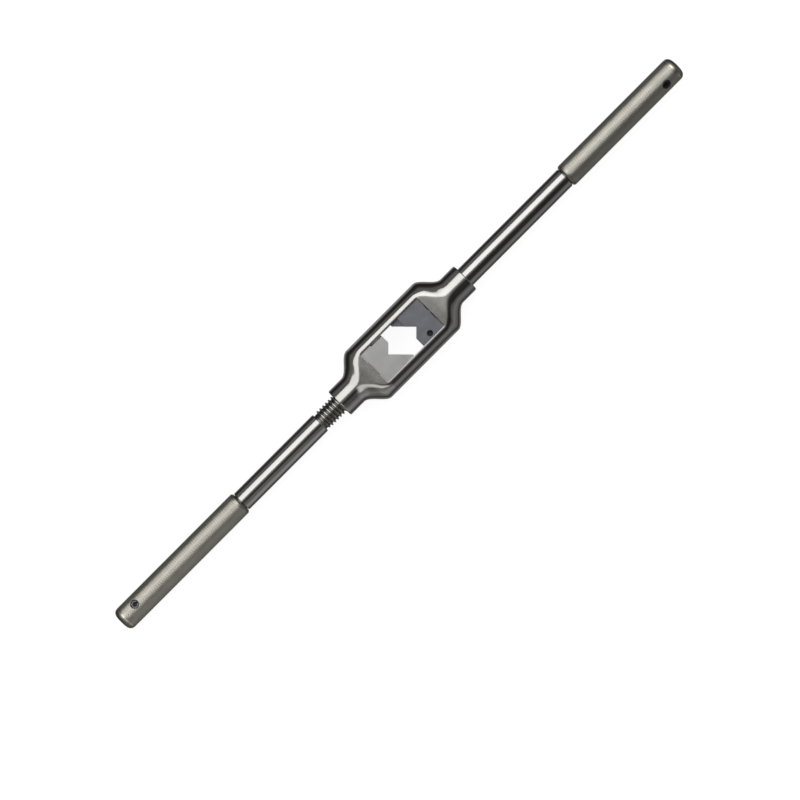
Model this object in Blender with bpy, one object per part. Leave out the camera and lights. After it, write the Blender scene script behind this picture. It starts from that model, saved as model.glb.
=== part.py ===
"""Straight adjustable tap wrench.

A forged frame carries two V jaws in a window. The fixed jaw stands on the fixed handle's nose. The sliding jaw
hangs on the nose of the adjusting screw, which is threaded through the frame's neck and turned by its grip.

The handles lie along X, with the fixed handle at +X. The tap stands along Z. The origin is under the middle of
the whole tool, on the plane that the frame's underside rests on.
"""

import math

import bmesh
import bpy

MM = 0.001

# Driving sizes of the whole tool
LENGTH = 280.0 * MM
FRAME_MIDDLE_X = 1.6 * MM
GAP = 0.3 * MM
RUNNING_GAP = 0.15 * MM

# Frame: round necks that swell into a flat-topped body
BODY_HALF_WIDTH = 11.6 * MM
BODY_HALF_HEIGHT = 7.0 * MM
BODY_HALF_FLAT = 8.0 * MM
NECK_RADIUS = 5.8 * MM
NECK_END = 31.7 * MM
NECK_CHAMFER = 0.5 * MM
SHOULDER_OUTER = 25.0 * MM
SHOULDER_INNER = 16.8 * MM
FLAT_OUTER = 22.6 * MM
FLAT_INNER = 13.4 * MM
WINDOW_HALF_LENGTH = 14.25 * MM
WINDOW_HALF_WIDTH = 7.1 * MM
WINDOW_CORNER = 1.0 * MM
AXIS_HEIGHT = BODY_HALF_HEIGHT

# Rods and grips
ROD_RADIUS = 3.95 * MM
THREAD_RADIUS = 3.9 * MM
THREAD_EXPOSED = 9.6 * MM
THREAD_RELIEF = 0.5 * MM
NECK_BORE_RADIUS = ROD_RADIUS + 0.2 * MM
TAIL_RADIUS = 3.1 * MM
GRIP_RADIUS = 4.575 * MM
ADJUSTING_GRIP_START = -79.9 * MM
FIXED_GRIP_START = 84.1 * MM
GRIP_DOME = 2.2 * MM
GRIP_CHAMFER = 0.5 * MM
GRIP_END_WALL = 3.0 * MM
CENTRE_HOLE_RADIUS = 1.0 * MM

# Hollow spring pins that lock the grips to the rods
SPRING_PIN_RADIUS = 1.5 * MM
SPRING_PIN_BORE = 0.9 * MM
SPRING_PIN_HALF_LENGTH = 4.1 * MM
SPRING_PIN_SLIT = math.radians(34.0)
ADJUSTING_PIN_X = -131.9 * MM
ADJUSTING_PIN_ROLL = math.radians(-15.0)
FIXED_PIN_X = 132.3 * MM
FIXED_PIN_ROLL = math.radians(31.0)

# Jaws: a V of 90 degrees, with a long tongue on one side and a slot for the other jaw's tongue on the other
OPENING_HALF = 7.1 * MM
JAW_HALF_WIDTH = WINDOW_HALF_WIDTH - GAP
JAW_HALF_THICKNESS = 6.0 * MM
TONGUE_HALF_THICKNESS = 3.7 * MM
SLOT_HALF_THICKNESS = 4.0 * MM
SHORT_HORN = 3.0 * MM
TONGUE_REACH = 6.2 * MM
SLOT_ROOT = 1.6 * MM
SLOT_INNER = 4.6 * MM
SLIDING_JAW_BACK = 6.65 * MM
FIXED_JAW_BACK = 6.85 * MM
RELIEF_HOLE_RADIUS = 1.15 * MM
RELIEF_HOLE_OUT = 5.2 * MM
SIDE_RELIEF = 0.6 * MM
SIDE_RELIEF_BACK = 2.3 * MM

# Noses of the two rods, each held in its jaw by two cross pins that ride in a groove
NOSE_RADIUS = 3.0 * MM
NOSE_TIP = 2.7 * MM
NOSE_CHAMFER = 0.3 * MM
GROOVE_RADIUS = 2.05 * MM
JAW_PIN_RADIUS = 0.75 * MM
JAW_PIN_BACK = 4.8 * MM
JAW_PIN_HEIGHT = GROOVE_RADIUS + JAW_PIN_RADIUS + RUNNING_GAP
JAW_PIN_HALF_LENGTH = JAW_HALF_WIDTH - 0.2 * MM
GROOVE_HALF_WIDTH = JAW_PIN_RADIUS + 0.2 * MM

# Faceting
TURN_STEPS = 40
HOLE_STEPS = 24
SIDE_STEPS = 20
SHOULDER_STEPS = 16
CORNER_STEPS = 4
DOME_STEPS = 5
SMOOTH_ANGLE = math.radians(30.0)
OVERSIZE = 2.0 * MM

# Surfaces: base colour, roughness, metallic
FORGED_NICKEL = ("forged_nickel", (0.62, 0.61, 0.58, 1.0), 0.18, 1.0)
ROD_NICKEL = ("rod_nickel", (0.64, 0.63, 0.60, 1.0), 0.16, 1.0)
KNURLED_STEEL = ("knurled_steel", (0.47, 0.44, 0.40, 1.0), 0.42, 1.0)
GROUND_STEEL = ("ground_steel", (0.60, 0.60, 0.60, 1.0), 0.38, 1.0)
BLUED_STEEL = ("blued_steel", (0.24, 0.25, 0.29, 1.0), 0.42, 1.0)
PIN_STEEL = ("pin_steel", (0.30, 0.30, 0.31, 1.0), 0.35, 1.0)


def material(surface):
    """The Principled material of a surface, made once."""
    name, colour, roughness, metallic = surface
    found = bpy.data.materials.get(name)
    if found:
        return found
    made = bpy.data.materials.new(name)
    made.use_nodes = True
    shader = made.node_tree.nodes["Principled BSDF"]
    shader.inputs["Base Color"].default_value = colour
    shader.inputs["Roughness"].default_value = roughness
    shader.inputs["Metallic"].default_value = metallic
    return made


def add_object(name, bm, surface=None, parent=None, location=(0, 0, 0), rotation=(0, 0, 0), smooth=True):
    """Turn a bmesh into a named object with outward faces, and smooth round sides where it has them."""
    bmesh.ops.remove_doubles(bm, verts=bm.verts, dist=1e-7)
    bmesh.ops.recalc_face_normals(bm, faces=bm.faces)
    mesh = bpy.data.meshes.new(name)
    bm.to_mesh(mesh)
    bm.free()
    if smooth:
        mesh.shade_smooth()
        mesh.set_sharp_from_angle(angle=SMOOTH_ANGLE)
    obj = bpy.data.objects.new(name, mesh)
    obj.location = location
    obj.rotation_euler = rotation
    obj.parent = parent
    if surface:
        mesh.materials.append(material(surface))
    bpy.context.scene.collection.objects.link(obj)
    return obj


def add_axis(name, location, parent=None):
    """An empty that marks a line that pieces turn or slide on."""
    axis = bpy.data.objects.new(name, None)
    axis.location = location
    axis.parent = parent
    axis.empty_display_size = 10.0 * MM
    bpy.context.scene.collection.objects.link(axis)
    return axis


def cut(target, name, bm, rotation=(0, 0, 0), location=(0, 0, 0)):
    """Take a closed shape, given in the target's own coordinates, out of the target."""
    cutter = add_object(name, bm, parent=target, location=location, rotation=rotation)
    cutter.hide_render = True
    cutter.display_type = "WIRE"
    boolean = target.modifiers.new(name, "BOOLEAN")
    boolean.operation = "DIFFERENCE"
    boolean.solver = "EXACT"
    boolean.object = cutter


def turned(profile, steps=TURN_STEPS):
    """A solid turned about X from (x, radius) points whose first and last radius is 0."""
    bm = bmesh.new()
    rows = []
    for x, radius in profile:
        if radius == 0:
            rows.append([bm.verts.new((x, 0, 0))] * steps)
            continue
        angles = [2 * math.pi * k / steps for k in range(steps)]
        rows.append([bm.verts.new((x, radius * math.sin(a), radius * math.cos(a))) for a in angles])
    for row, following in zip(rows, rows[1:]):
        for k in range(steps):
            ring = (row[k], row[k - 1], following[k - 1], following[k])
            corners = list(dict.fromkeys(ring))
            bm.faces.new(corners)
    return bm


def prism(outline, low, high):
    """A straight prism along Z over an outline of (x, y) points."""
    bm = bmesh.new()
    bottom = [bm.verts.new((x, y, low)) for x, y in outline]
    top = [bm.verts.new((x, y, high)) for x, y in outline]
    bm.faces.new(reversed(bottom))
    bm.faces.new(top)
    count = len(outline)
    for k in range(count):
        following = (k + 1) % count
        bm.faces.new((bottom[k], bottom[following], top[following], top[k]))
    return bm


def arc(centre, radius, start, end, steps):
    """Points along a circular arc from one angle to another."""
    points = []
    for k in range(steps + 1):
        angle = start + (end - start) * k / steps
        points.append((centre[0] + radius * math.cos(angle), centre[1] + radius * math.sin(angle)))
    return points


def round_bar(radius, low, high, steps=HOLE_STEPS):
    """A round bar along Z."""
    return prism(arc((0, 0), radius, 0, 2 * math.pi * (1 - 1 / steps), steps - 1), low, high)


def smoothstep(outer, inner, distance):
    """0 at the outer distance and beyond, 1 at the inner distance and within, smooth in between."""
    t = min(1.0, max(0.0, (outer - distance) / (outer - inner)))
    return t * t * (3 - 2 * t)


def frame_section(distance):
    """Half width, half height and half flat of the frame at a distance from its middle."""
    swell = smoothstep(SHOULDER_OUTER, SHOULDER_INNER, distance)
    half_width = NECK_RADIUS + (BODY_HALF_WIDTH - NECK_RADIUS) * swell
    half_height = NECK_RADIUS + (BODY_HALF_HEIGHT - NECK_RADIUS) * swell
    half_flat = BODY_HALF_FLAT * smoothstep(FLAT_OUTER, FLAT_INNER, distance)
    return half_width, half_height, half_flat


def frame_stations():
    """(distance, shrink) of each section from the middle out to the neck's end."""
    span = SHOULDER_OUTER - FLAT_INNER
    stations = [(FLAT_INNER + span * k / SHOULDER_STEPS, 0.0) for k in range(SHOULDER_STEPS + 1)]
    stations.append((NECK_END - NECK_CHAMFER, 0.0))
    stations.append((NECK_END, NECK_CHAMFER))
    return stations


def frame_ring(bm, x, distance, shrink):
    """One closed section: two half ellipses joined by the flats above and below."""
    half_width, half_height, half_flat = frame_section(distance)
    side = half_width - half_flat - shrink
    ring = []
    for sign in (1, -1):
        for k in range(SIDE_STEPS + 1):
            angle = -math.pi / 2 + math.pi * k / SIDE_STEPS
            y = sign * (half_flat + side * math.cos(angle))
            z = sign * (half_height - shrink) * math.sin(angle)
            ring.append(bm.verts.new((x, y, z)))
    return ring


def build_frame():
    """The forged frame with its window and the two neck bores."""
    bm = bmesh.new()
    stations = frame_stations()
    rings = [frame_ring(bm, -distance, distance, shrink) for distance, shrink in reversed(stations)]
    rings += [frame_ring(bm, distance, distance, shrink) for distance, shrink in stations]
    for ring, following in zip(rings, rings[1:]):
        for k in range(len(ring)):
            bm.faces.new((ring[k], ring[k - 1], following[k - 1], following[k]))
    bm.faces.new(rings[0])
    bm.faces.new(rings[-1])
    frame = add_object("frame", bm, FORGED_NICKEL, location=(FRAME_MIDDLE_X, 0, AXIS_HEIGHT))

    corners = []
    quarter = math.pi / 2
    for k, (side_x, side_y) in enumerate(((1, 1), (-1, 1), (-1, -1), (1, -1))):
        centre_x = side_x * (WINDOW_HALF_LENGTH - WINDOW_CORNER)
        centre_y = side_y * (WINDOW_HALF_WIDTH - WINDOW_CORNER)
        corners += arc((centre_x, centre_y), WINDOW_CORNER, k * quarter, (k + 1) * quarter, CORNER_STEPS)
    reach = BODY_HALF_HEIGHT + OVERSIZE
    cut(frame, "window_cutter", prism(corners, -reach, reach))

    for side, name in ((-1, "adjusting_bore_cutter"), (1, "fixed_bore_cutter")):
        mouth = NECK_BORE_RADIUS + NECK_CHAMFER
        end = NECK_END
        bore = (
            (side * (WINDOW_HALF_LENGTH - OVERSIZE), 0),
            (side * (WINDOW_HALF_LENGTH - OVERSIZE), NECK_BORE_RADIUS),
            (side * (end - NECK_CHAMFER), NECK_BORE_RADIUS),
            (side * end, mouth),
            (side * (end + OVERSIZE), mouth + OVERSIZE),
            (side * (end + OVERSIZE), 0),
        )
        cut(frame, name, turned(bore))


def jaw_outline(back):
    """Plan of a jaw whose V points to -x from its apex at the origin: tongue at -y, short horn at +y."""
    return (
        (-back, -JAW_HALF_WIDTH),
        (TONGUE_REACH, -JAW_HALF_WIDTH),
        (TONGUE_REACH, -TONGUE_REACH),
        (0.0, 0.0),
        (SHORT_HORN, SHORT_HORN),
        (SHORT_HORN, JAW_HALF_WIDTH),
        (-back, JAW_HALF_WIDTH),
    )


def build_jaw(name, surface, back, parent, apex_x, turn):
    """A V jaw with its tongue, its slot, the nose bore in its back and two cross pin holes."""
    block = prism(jaw_outline(back), -JAW_HALF_THICKNESS, JAW_HALF_THICKNESS)
    jaw = add_object(name, block, surface, parent, (apex_x, 0, 0), (0, 0, turn), smooth=False)
    beyond = JAW_HALF_WIDTH + OVERSIZE

    for sign, level in ((1, "upper"), (-1, "lower")):
        step = (
            (SHORT_HORN, -beyond),
            (TONGUE_REACH + OVERSIZE, -beyond),
            (TONGUE_REACH + OVERSIZE, 0.0),
            (SHORT_HORN, 0.0),
        )
        near, far = TONGUE_HALF_THICKNESS, JAW_HALF_THICKNESS + OVERSIZE
        low, high = sorted((sign * near, sign * far))
        cut(jaw, f"{name}_{level}_step_cutter", prism(step, low, high))

    front = SHORT_HORN + OVERSIZE
    slope_y = SLOT_INNER - SHORT_HORN
    slot = (
        (front, slope_y),
        (0.0, SLOT_INNER),
        (-SLOT_ROOT, SLOT_INNER),
        (-SLOT_ROOT, beyond),
        (front, beyond),
    )
    cut(jaw, f"{name}_slot_cutter", prism(slot, -SLOT_HALF_THICKNESS, SLOT_HALF_THICKNESS))

    bore_end = -NOSE_TIP + GAP
    bore_radius = NOSE_RADIUS + RUNNING_GAP
    bore = (
        (-back - OVERSIZE, 0),
        (-back - OVERSIZE, bore_radius),
        (bore_end, bore_radius),
        (bore_end, 0),
    )
    cut(jaw, f"{name}_nose_bore_cutter", turned(bore, HOLE_STEPS))

    for sign, level in ((1, "upper"), (-1, "lower")):
        hole = round_bar(JAW_PIN_RADIUS + RUNNING_GAP, -beyond, beyond)
        place = (-JAW_PIN_BACK, 0, sign * JAW_PIN_HEIGHT)
        cut(jaw, f"{name}_{level}_pin_hole_cutter", hole, (math.pi / 2, 0, 0), place)
    return jaw


def add_relief_hole(jaw):
    """A blind hole from the top face down to the floor of the slot, at the slot's root."""
    hole = round_bar(RELIEF_HOLE_RADIUS, -SLOT_HALF_THICKNESS + GAP, JAW_HALF_THICKNESS + OVERSIZE)
    cut(jaw, "relief_hole_cutter", hole, location=(-SLOT_ROOT, RELIEF_HOLE_OUT, 0))


def add_side_relief(jaw):
    """A shallow step along the short horn's outer side, in the upper cheek only."""
    inner = JAW_HALF_WIDTH - SIDE_RELIEF
    outer = JAW_HALF_WIDTH + OVERSIZE
    front = SHORT_HORN + OVERSIZE
    step = ((-SIDE_RELIEF_BACK, inner), (front, inner), (front, outer), (-SIDE_RELIEF_BACK, outer))
    cut(jaw, "side_relief_cutter", prism(step, 0.0, JAW_HALF_THICKNESS + OVERSIZE))


def build_jaw_pins(name, jaw):
    """The two cross pins of a jaw, above and below the nose."""
    for sign, level in ((1, "upper"), (-1, "lower")):
        pin = round_bar(JAW_PIN_RADIUS, -JAW_PIN_HALF_LENGTH, JAW_PIN_HALF_LENGTH, HOLE_STEPS)
        place = (-JAW_PIN_BACK, 0, sign * JAW_PIN_HEIGHT)
        add_object(f"{name}_{level}", pin, PIN_STEEL, jaw, place, (math.pi / 2, 0, 0))


def nose_profile(apex, away):
    """(x, radius) points of a rod's nose, from its tip to the root; away is the side the rod lies on."""
    tip = apex + away * NOSE_TIP
    groove = apex + away * JAW_PIN_BACK
    return [
        (tip, 0),
        (tip, NOSE_RADIUS - NOSE_CHAMFER),
        (tip + away * NOSE_CHAMFER, NOSE_RADIUS),
        (groove - away * GROOVE_HALF_WIDTH, NOSE_RADIUS),
        (groove - away * GROOVE_HALF_WIDTH, GROOVE_RADIUS),
        (groove + away * GROOVE_HALF_WIDTH, GROOVE_RADIUS),
        (groove + away * GROOVE_HALF_WIDTH, NOSE_RADIUS),
    ]


def tail_profile(grip_start, away):
    """(x, radius) points of the part of a rod that its grip covers."""
    end = away * (LENGTH / 2 - GRIP_END_WALL - GAP)
    shoulder = grip_start - away * GAP
    return [
        (shoulder - away * NOSE_CHAMFER, ROD_RADIUS),
        (shoulder, ROD_RADIUS - NOSE_CHAMFER),
        (shoulder, TAIL_RADIUS),
        (end - away * NOSE_CHAMFER, TAIL_RADIUS),
        (end, TAIL_RADIUS - NOSE_CHAMFER),
        (end, 0),
    ]


def spring_pin_hole(target, name, x, roll):
    """The cross hole of a spring pin through a rod or a grip."""
    hole = round_bar(SPRING_PIN_RADIUS + RUNNING_GAP, -GRIP_RADIUS - OVERSIZE, GRIP_RADIUS + OVERSIZE)
    cut(target, name, hole, rotation=(roll, 0, 0), location=(x, 0, 0))


def build_spring_pin(name, axis, x, roll):
    """A hollow pin rolled from strip, with its slit facing the middle of the tool."""
    middle = 0.0 if x < 0 else math.pi
    start = middle + SPRING_PIN_SLIT / 2
    end = middle + 2 * math.pi - SPRING_PIN_SLIT / 2
    outline = arc((0, 0), SPRING_PIN_RADIUS, start, end, HOLE_STEPS)
    outline += arc((0, 0), SPRING_PIN_BORE, end, start, HOLE_STEPS)
    pin = prism(outline, -SPRING_PIN_HALF_LENGTH, SPRING_PIN_HALF_LENGTH)
    add_object(name, pin, PIN_STEEL, axis, (x, 0, 0), (roll, 0, 0))


def build_grip(name, axis, grip_start, pin_x, pin_roll):
    """A blind sleeve with a domed end, a turning centre in that end and a cross hole for its pin."""
    away = math.copysign(1, grip_start)
    end = away * LENGTH / 2
    dome_x = end - away * GRIP_DOME
    dome_radius = GRIP_RADIUS - GRIP_DOME
    bore_radius = TAIL_RADIUS + RUNNING_GAP
    profile = [(end - away * CENTRE_HOLE_RADIUS, 0), (end, CENTRE_HOLE_RADIUS)]
    for k in range(DOME_STEPS + 1):
        angle = math.pi / 2 * k / DOME_STEPS
        x = dome_x + away * GRIP_DOME * math.cos(angle)
        profile.append((x, dome_radius + GRIP_DOME * math.sin(angle)))
    profile += [
        (grip_start + away * GRIP_CHAMFER, GRIP_RADIUS),
        (grip_start, GRIP_RADIUS - GRIP_CHAMFER),
        (grip_start, bore_radius),
        (end - away * GRIP_END_WALL, bore_radius),
        (end - away * GRIP_END_WALL, 0),
    ]
    grip = add_object(name, turned(profile), KNURLED_STEEL, axis)
    spring_pin_hole(grip, f"{name}_hole_cutter", pin_x, pin_roll)


def build_rod(name, axis, profile, pin_x, pin_roll):
    """A turned rod with the cross hole of its spring pin."""
    rod = add_object(name, turned(profile), ROD_NICKEL, axis)
    spring_pin_hole(rod, f"{name}_hole_cutter", pin_x, pin_roll)


def build_adjusting_handle(axis, apex):
    """Screw, grip and spring pin of the handle that moves the jaw."""
    shoulder = apex - SLIDING_JAW_BACK - GAP
    thread_end = FRAME_MIDDLE_X - NECK_END - THREAD_EXPOSED
    relief_radius = THREAD_RADIUS - THREAD_RELIEF
    profile = nose_profile(apex, -1)
    profile += [
        (shoulder, NOSE_RADIUS),
        (shoulder - THREAD_RELIEF, THREAD_RADIUS),
        (thread_end + 2 * THREAD_RELIEF, THREAD_RADIUS),
        (thread_end + THREAD_RELIEF, relief_radius),
        (thread_end, relief_radius),
        (thread_end, ROD_RADIUS - NOSE_CHAMFER),
        (thread_end - NOSE_CHAMFER, ROD_RADIUS),
    ]
    profile += tail_profile(ADJUSTING_GRIP_START, -1)
    build_rod("adjusting_screw", axis, profile, ADJUSTING_PIN_X, ADJUSTING_PIN_ROLL)
    build_grip("adjusting_grip", axis, ADJUSTING_GRIP_START, ADJUSTING_PIN_X, ADJUSTING_PIN_ROLL)
    build_spring_pin("adjusting_grip_pin", axis, ADJUSTING_PIN_X, ADJUSTING_PIN_ROLL)


def build_fixed_handle(axis, apex):
    """Rod, grip and spring pin of the handle that stays put."""
    shoulder = apex + FIXED_JAW_BACK + GAP
    profile = nose_profile(apex, 1)
    profile += [(shoulder, NOSE_RADIUS), (shoulder, ROD_RADIUS - NOSE_CHAMFER)]
    profile.append((shoulder + NOSE_CHAMFER, ROD_RADIUS))
    profile += tail_profile(FIXED_GRIP_START, 1)
    build_rod("fixed_handle_rod", axis, profile, FIXED_PIN_X, FIXED_PIN_ROLL)
    build_grip("fixed_handle_grip", axis, FIXED_GRIP_START, FIXED_PIN_X, FIXED_PIN_ROLL)
    build_spring_pin("fixed_handle_grip_pin", axis, FIXED_PIN_X, FIXED_PIN_ROLL)


def main():
    """Clear the scene and build the tool from the frame outwards."""
    for obj in list(bpy.data.objects):
        bpy.data.objects.remove(obj, do_unlink=True)
    sliding_apex = FRAME_MIDDLE_X - OPENING_HALF
    fixed_apex = FRAME_MIDDLE_X + OPENING_HALF

    build_frame()
    fixed_axis = add_axis("fixed_handle_axis", (0, 0, AXIS_HEIGHT))
    slide_axis = add_axis("jaw_slide_axis", (0, 0, AXIS_HEIGHT))
    turn_axis = add_axis("handle_turn_axis", (0, 0, 0), slide_axis)

    fixed_jaw = build_jaw("fixed_jaw", BLUED_STEEL, FIXED_JAW_BACK, fixed_axis, fixed_apex, math.pi)
    add_relief_hole(fixed_jaw)
    build_jaw_pins("fixed_jaw_pin", fixed_jaw)
    build_fixed_handle(fixed_axis, fixed_apex)

    sliding_jaw = build_jaw("sliding_jaw", GROUND_STEEL, SLIDING_JAW_BACK, slide_axis, sliding_apex, 0.0)
    add_side_relief(sliding_jaw)
    build_jaw_pins("sliding_jaw_pin", sliding_jaw)
    build_adjusting_handle(turn_axis, sliding_apex)


main()
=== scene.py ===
"""Straight adjustable tap wrench: the finished pieces, their metals, and a small studio round them.

The handles lie along X and the tap stands along Z. The line through both handles is called the axis. The rods
and the ends of the grips are turned about it, and the frame, the thread and the knurls are skins whose points
follow a rule.
"""

from __future__ import annotations

import logging
import math
from abc import ABC, abstractmethod
from dataclasses import dataclass, field, fields
from enum import Enum

import bmesh
import bpy
from bpy.types import Node, NodeSocket, NodeTree
from mathutils import Matrix, Vector


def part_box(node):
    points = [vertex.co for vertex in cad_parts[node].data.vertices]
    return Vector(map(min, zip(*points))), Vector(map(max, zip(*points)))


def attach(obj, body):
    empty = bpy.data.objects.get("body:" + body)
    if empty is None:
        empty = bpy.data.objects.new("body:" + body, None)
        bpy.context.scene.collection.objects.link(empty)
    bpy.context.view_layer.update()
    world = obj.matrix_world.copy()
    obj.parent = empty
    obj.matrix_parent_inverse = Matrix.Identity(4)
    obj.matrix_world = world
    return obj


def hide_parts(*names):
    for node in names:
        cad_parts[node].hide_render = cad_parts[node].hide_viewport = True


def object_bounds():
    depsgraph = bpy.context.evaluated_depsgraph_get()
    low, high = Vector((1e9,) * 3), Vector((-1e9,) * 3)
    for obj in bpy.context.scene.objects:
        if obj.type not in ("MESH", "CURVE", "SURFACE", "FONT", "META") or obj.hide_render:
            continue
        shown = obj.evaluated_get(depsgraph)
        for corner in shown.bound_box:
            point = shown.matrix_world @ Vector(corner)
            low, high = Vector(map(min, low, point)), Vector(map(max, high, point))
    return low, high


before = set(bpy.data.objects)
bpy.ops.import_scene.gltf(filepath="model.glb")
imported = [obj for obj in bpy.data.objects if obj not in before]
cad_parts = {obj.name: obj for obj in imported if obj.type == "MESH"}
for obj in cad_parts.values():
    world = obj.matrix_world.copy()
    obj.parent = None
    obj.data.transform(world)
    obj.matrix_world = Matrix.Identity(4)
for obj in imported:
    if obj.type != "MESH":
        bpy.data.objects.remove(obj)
CAD_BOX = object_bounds()

MM = 0.001
LOG = logging.getLogger("tap_wrench")

Profile = list[tuple[float, float]]
Colour = tuple[float, float, float]


class Body(Enum):
    """The bodies that move against each other."""

    FRAME = "frame_body"
    SLIDING_JAW = "sliding_jaw_body"
    ADJUSTING_HANDLE = "adjusting_handle_body"


class Slot(Enum):
    """The material slots of the record."""

    FORGED = "forged_nickel"
    ROD = "rod_nickel"
    KNURLED = "knurled_steel"
    GROUND = "ground_steel"
    BLUED = "blued_steel"
    PIN = "pin_steel"


class Side(Enum):
    """The way that a handle points along X."""

    ADJUSTING = -1
    FIXED = 1


# ---------------------------------------------------------------- nodes


class Number:
    """A number socket that takes part in arithmetic. Each operation adds its Math node."""

    def __init__(self, tree: Tree, socket: NodeSocket) -> None:
        """Wrap one socket of one tree."""
        self.tree = tree
        self.socket = socket

    def __add__(self, other: Number | float) -> Number:
        """This plus another."""
        return self.tree.math("ADD", self, other)

    def __radd__(self, other: float) -> Number:
        """Another plus this."""
        return self.tree.math("ADD", other, self)

    def __sub__(self, other: Number | float) -> Number:
        """This less another."""
        return self.tree.math("SUBTRACT", self, other)

    def __rsub__(self, other: float) -> Number:
        """Another less this."""
        return self.tree.math("SUBTRACT", other, self)

    def __mul__(self, other: Number | float) -> Number:
        """This times another."""
        return self.tree.math("MULTIPLY", self, other)

    def __rmul__(self, other: float) -> Number:
        """Another times this."""
        return self.tree.math("MULTIPLY", other, self)

    def __truediv__(self, other: Number | float) -> Number:
        """This over another."""
        return self.tree.math("DIVIDE", self, other)

    def __abs__(self) -> Number:
        """This without its sign."""
        return self.tree.math("ABSOLUTE", self)


Input = Number | NodeSocket | float | int | tuple


class Tree:
    """A node tree, with one method that adds any node and a few that stand for common ones."""

    def __init__(self, nodes: NodeTree) -> None:
        """Take over an empty tree."""
        self.nodes = nodes

    def add(self, kind: str, settings: dict | None = None, values: dict | None = None) -> Node:
        """Add a node.

        Args:
            kind: the node's type.
            settings: its own properties, set before its sockets.
            values: numbers or links for its input sockets, by name or number.

        Returns:
            The node.
        """
        node = self.nodes.nodes.new(kind)
        for name, setting in (settings or {}).items():
            setattr(node, name, setting)
        for key, value in (values or {}).items():
            self.feed(node.inputs[key], value)
        return node

    def feed(self, socket: NodeSocket, value: Input) -> None:
        """Link or set an input socket.

        Args:
            socket: the input socket.
            value: a number, a colour, a socket, or a wrapped one.
        """
        if isinstance(value, Number):
            value = value.socket
        if isinstance(value, NodeSocket):
            self.nodes.links.new(value, socket)
        else:
            socket.default_value = value

    def number(self, node: Node, key: str | int = 0) -> Number:
        """An output of a node, ready for arithmetic."""
        return Number(self, node.outputs[key])

    def math(self, operation: str, *operands: Input) -> Number:
        """Add a Math node.

        Args:
            operation: what it does.
            operands: its numbers or links, in order.

        Returns:
            Its result.
        """
        return self.number(self.add("ShaderNodeMath", {"operation": operation}, dict(enumerate(operands))))

    def clamp(self, value: Input, low: float = 0.0, high: float = 1.0) -> Number:
        """A value kept between two bounds."""
        return self.math("MINIMUM", self.math("MAXIMUM", value, low), high)

    def step(self, value: Input, start: Input, end: Input) -> Number:
        """0 at the start and before, 1 at the end and after, smooth between; the start may be the larger."""
        values = {"Value": value, "From Min": start, "From Max": end}
        return self.number(self.add("ShaderNodeMapRange", {"interpolation_type": "SMOOTHSTEP"}, values))

    def axes(self, vector: NodeSocket) -> list[Number]:
        """The X, Y and Z of a vector."""
        parts = self.add("ShaderNodeSeparateXYZ", None, {0: vector})
        return [self.number(parts, k) for k in range(3)]


def emptied(owner: bpy.types.Material | bpy.types.World) -> NodeTree:
    """Take the first nodes out of a new material or world.

    Args:
        owner: the material or world.

    Returns:
        Its empty node tree.
    """
    owner.use_nodes = True
    owner.node_tree.nodes.clear()
    return owner.node_tree


# ---------------------------------------------------------------- finishes


@dataclass(frozen=True)
class Grain:
    """A soft noise: its grains to a millimetre along X, Y and Z, and the finer layers on them."""

    x: float
    y: float
    z: float
    layers: float = 2.0
    layer_strength: float = 0.5


class Surface(Tree):
    """A metal's node tree, with places on the piece in millimetres."""

    def __init__(self, name: str) -> None:
        """Make the material and read its places.

        Args:
            name: the material's name.
        """
        self.material = bpy.data.materials.new(name)
        super().__init__(emptied(self.material))
        place = self.add("ShaderNodeTexCoord").outputs["Object"]
        per_mm = {"Vector": place, "Scale": (1 / MM, 1 / MM, 1 / MM)}
        self.place = self.add("ShaderNodeMapping", None, per_mm).outputs["Vector"]
        _, self.y, self.z = self.axes(self.place)

    def noise(self, grain: Grain) -> Number:
        """Soft noise from 0 to 1.

        Args:
            grain: its size and layers.

        Returns:
            The noise.
        """
        stretched = {"Vector": self.place, "Scale": (grain.x, grain.y, grain.z)}
        vector = self.add("ShaderNodeMapping", None, stretched).outputs[0]
        layers = {"Detail": grain.layers, "Roughness": grain.layer_strength}
        return self.number(self.add("ShaderNodeTexNoise", None, {"Vector": vector, "Scale": 1.0, **layers}))

    def radius(self) -> Number:
        """Distance from the axis."""
        up = self.z - AXIS_HEIGHT / MM
        return self.math("SQRT", self.y * self.y + up * up)

    def blend(self, factor: Number, low: Colour | Number, high: Colour | Number) -> Number:
        """Mix two colours.

        Args:
            factor: 0 for the first, 1 for the second.
            low: the first colour.
            high: the second colour.

        Returns:
            The mixed colour.
        """
        low = low if isinstance(low, Number) else (*low, 1.0)
        high = high if isinstance(high, Number) else (*high, 1.0)
        node = self.add("ShaderNodeMix", {"data_type": "RGBA"}, {0: factor, 6: low, 7: high})
        return self.number(node, 2)

    def relief(self, height: Number, depth: float, below: NodeSocket | None = None) -> NodeSocket:
        """Turn a height from 0 to 1 into a bumped normal.

        Args:
            height: the height.
            depth: the depth that a height of 1 stands for, in millimetres.
            below: the normal of a coarser relief that this one lies on.

        Returns:
            The normal.
        """
        values = {"Height": height, "Distance": depth * MM, "Strength": 1.0}
        if below is not None:
            values["Normal"] = below
        return self.add("ShaderNodeBump", None, values).outputs[0]

    def metal(self, colour: Number, roughness: Number, normal: NodeSocket) -> bpy.types.Material:
        """Close the tree with a metal shader.

        Args:
            colour: base colour.
            roughness: roughness.
            normal: bumped normal.

        Returns:
            The finished material.
        """
        values = {"Base Color": colour, "Roughness": roughness, "Normal": normal, "Metallic": 1.0}
        shader = self.add("ShaderNodeBsdfPrincipled", None, values)
        output = self.add("ShaderNodeOutputMaterial")
        self.nodes.links.new(shader.outputs[0], output.inputs[0])
        return self.material


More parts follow.
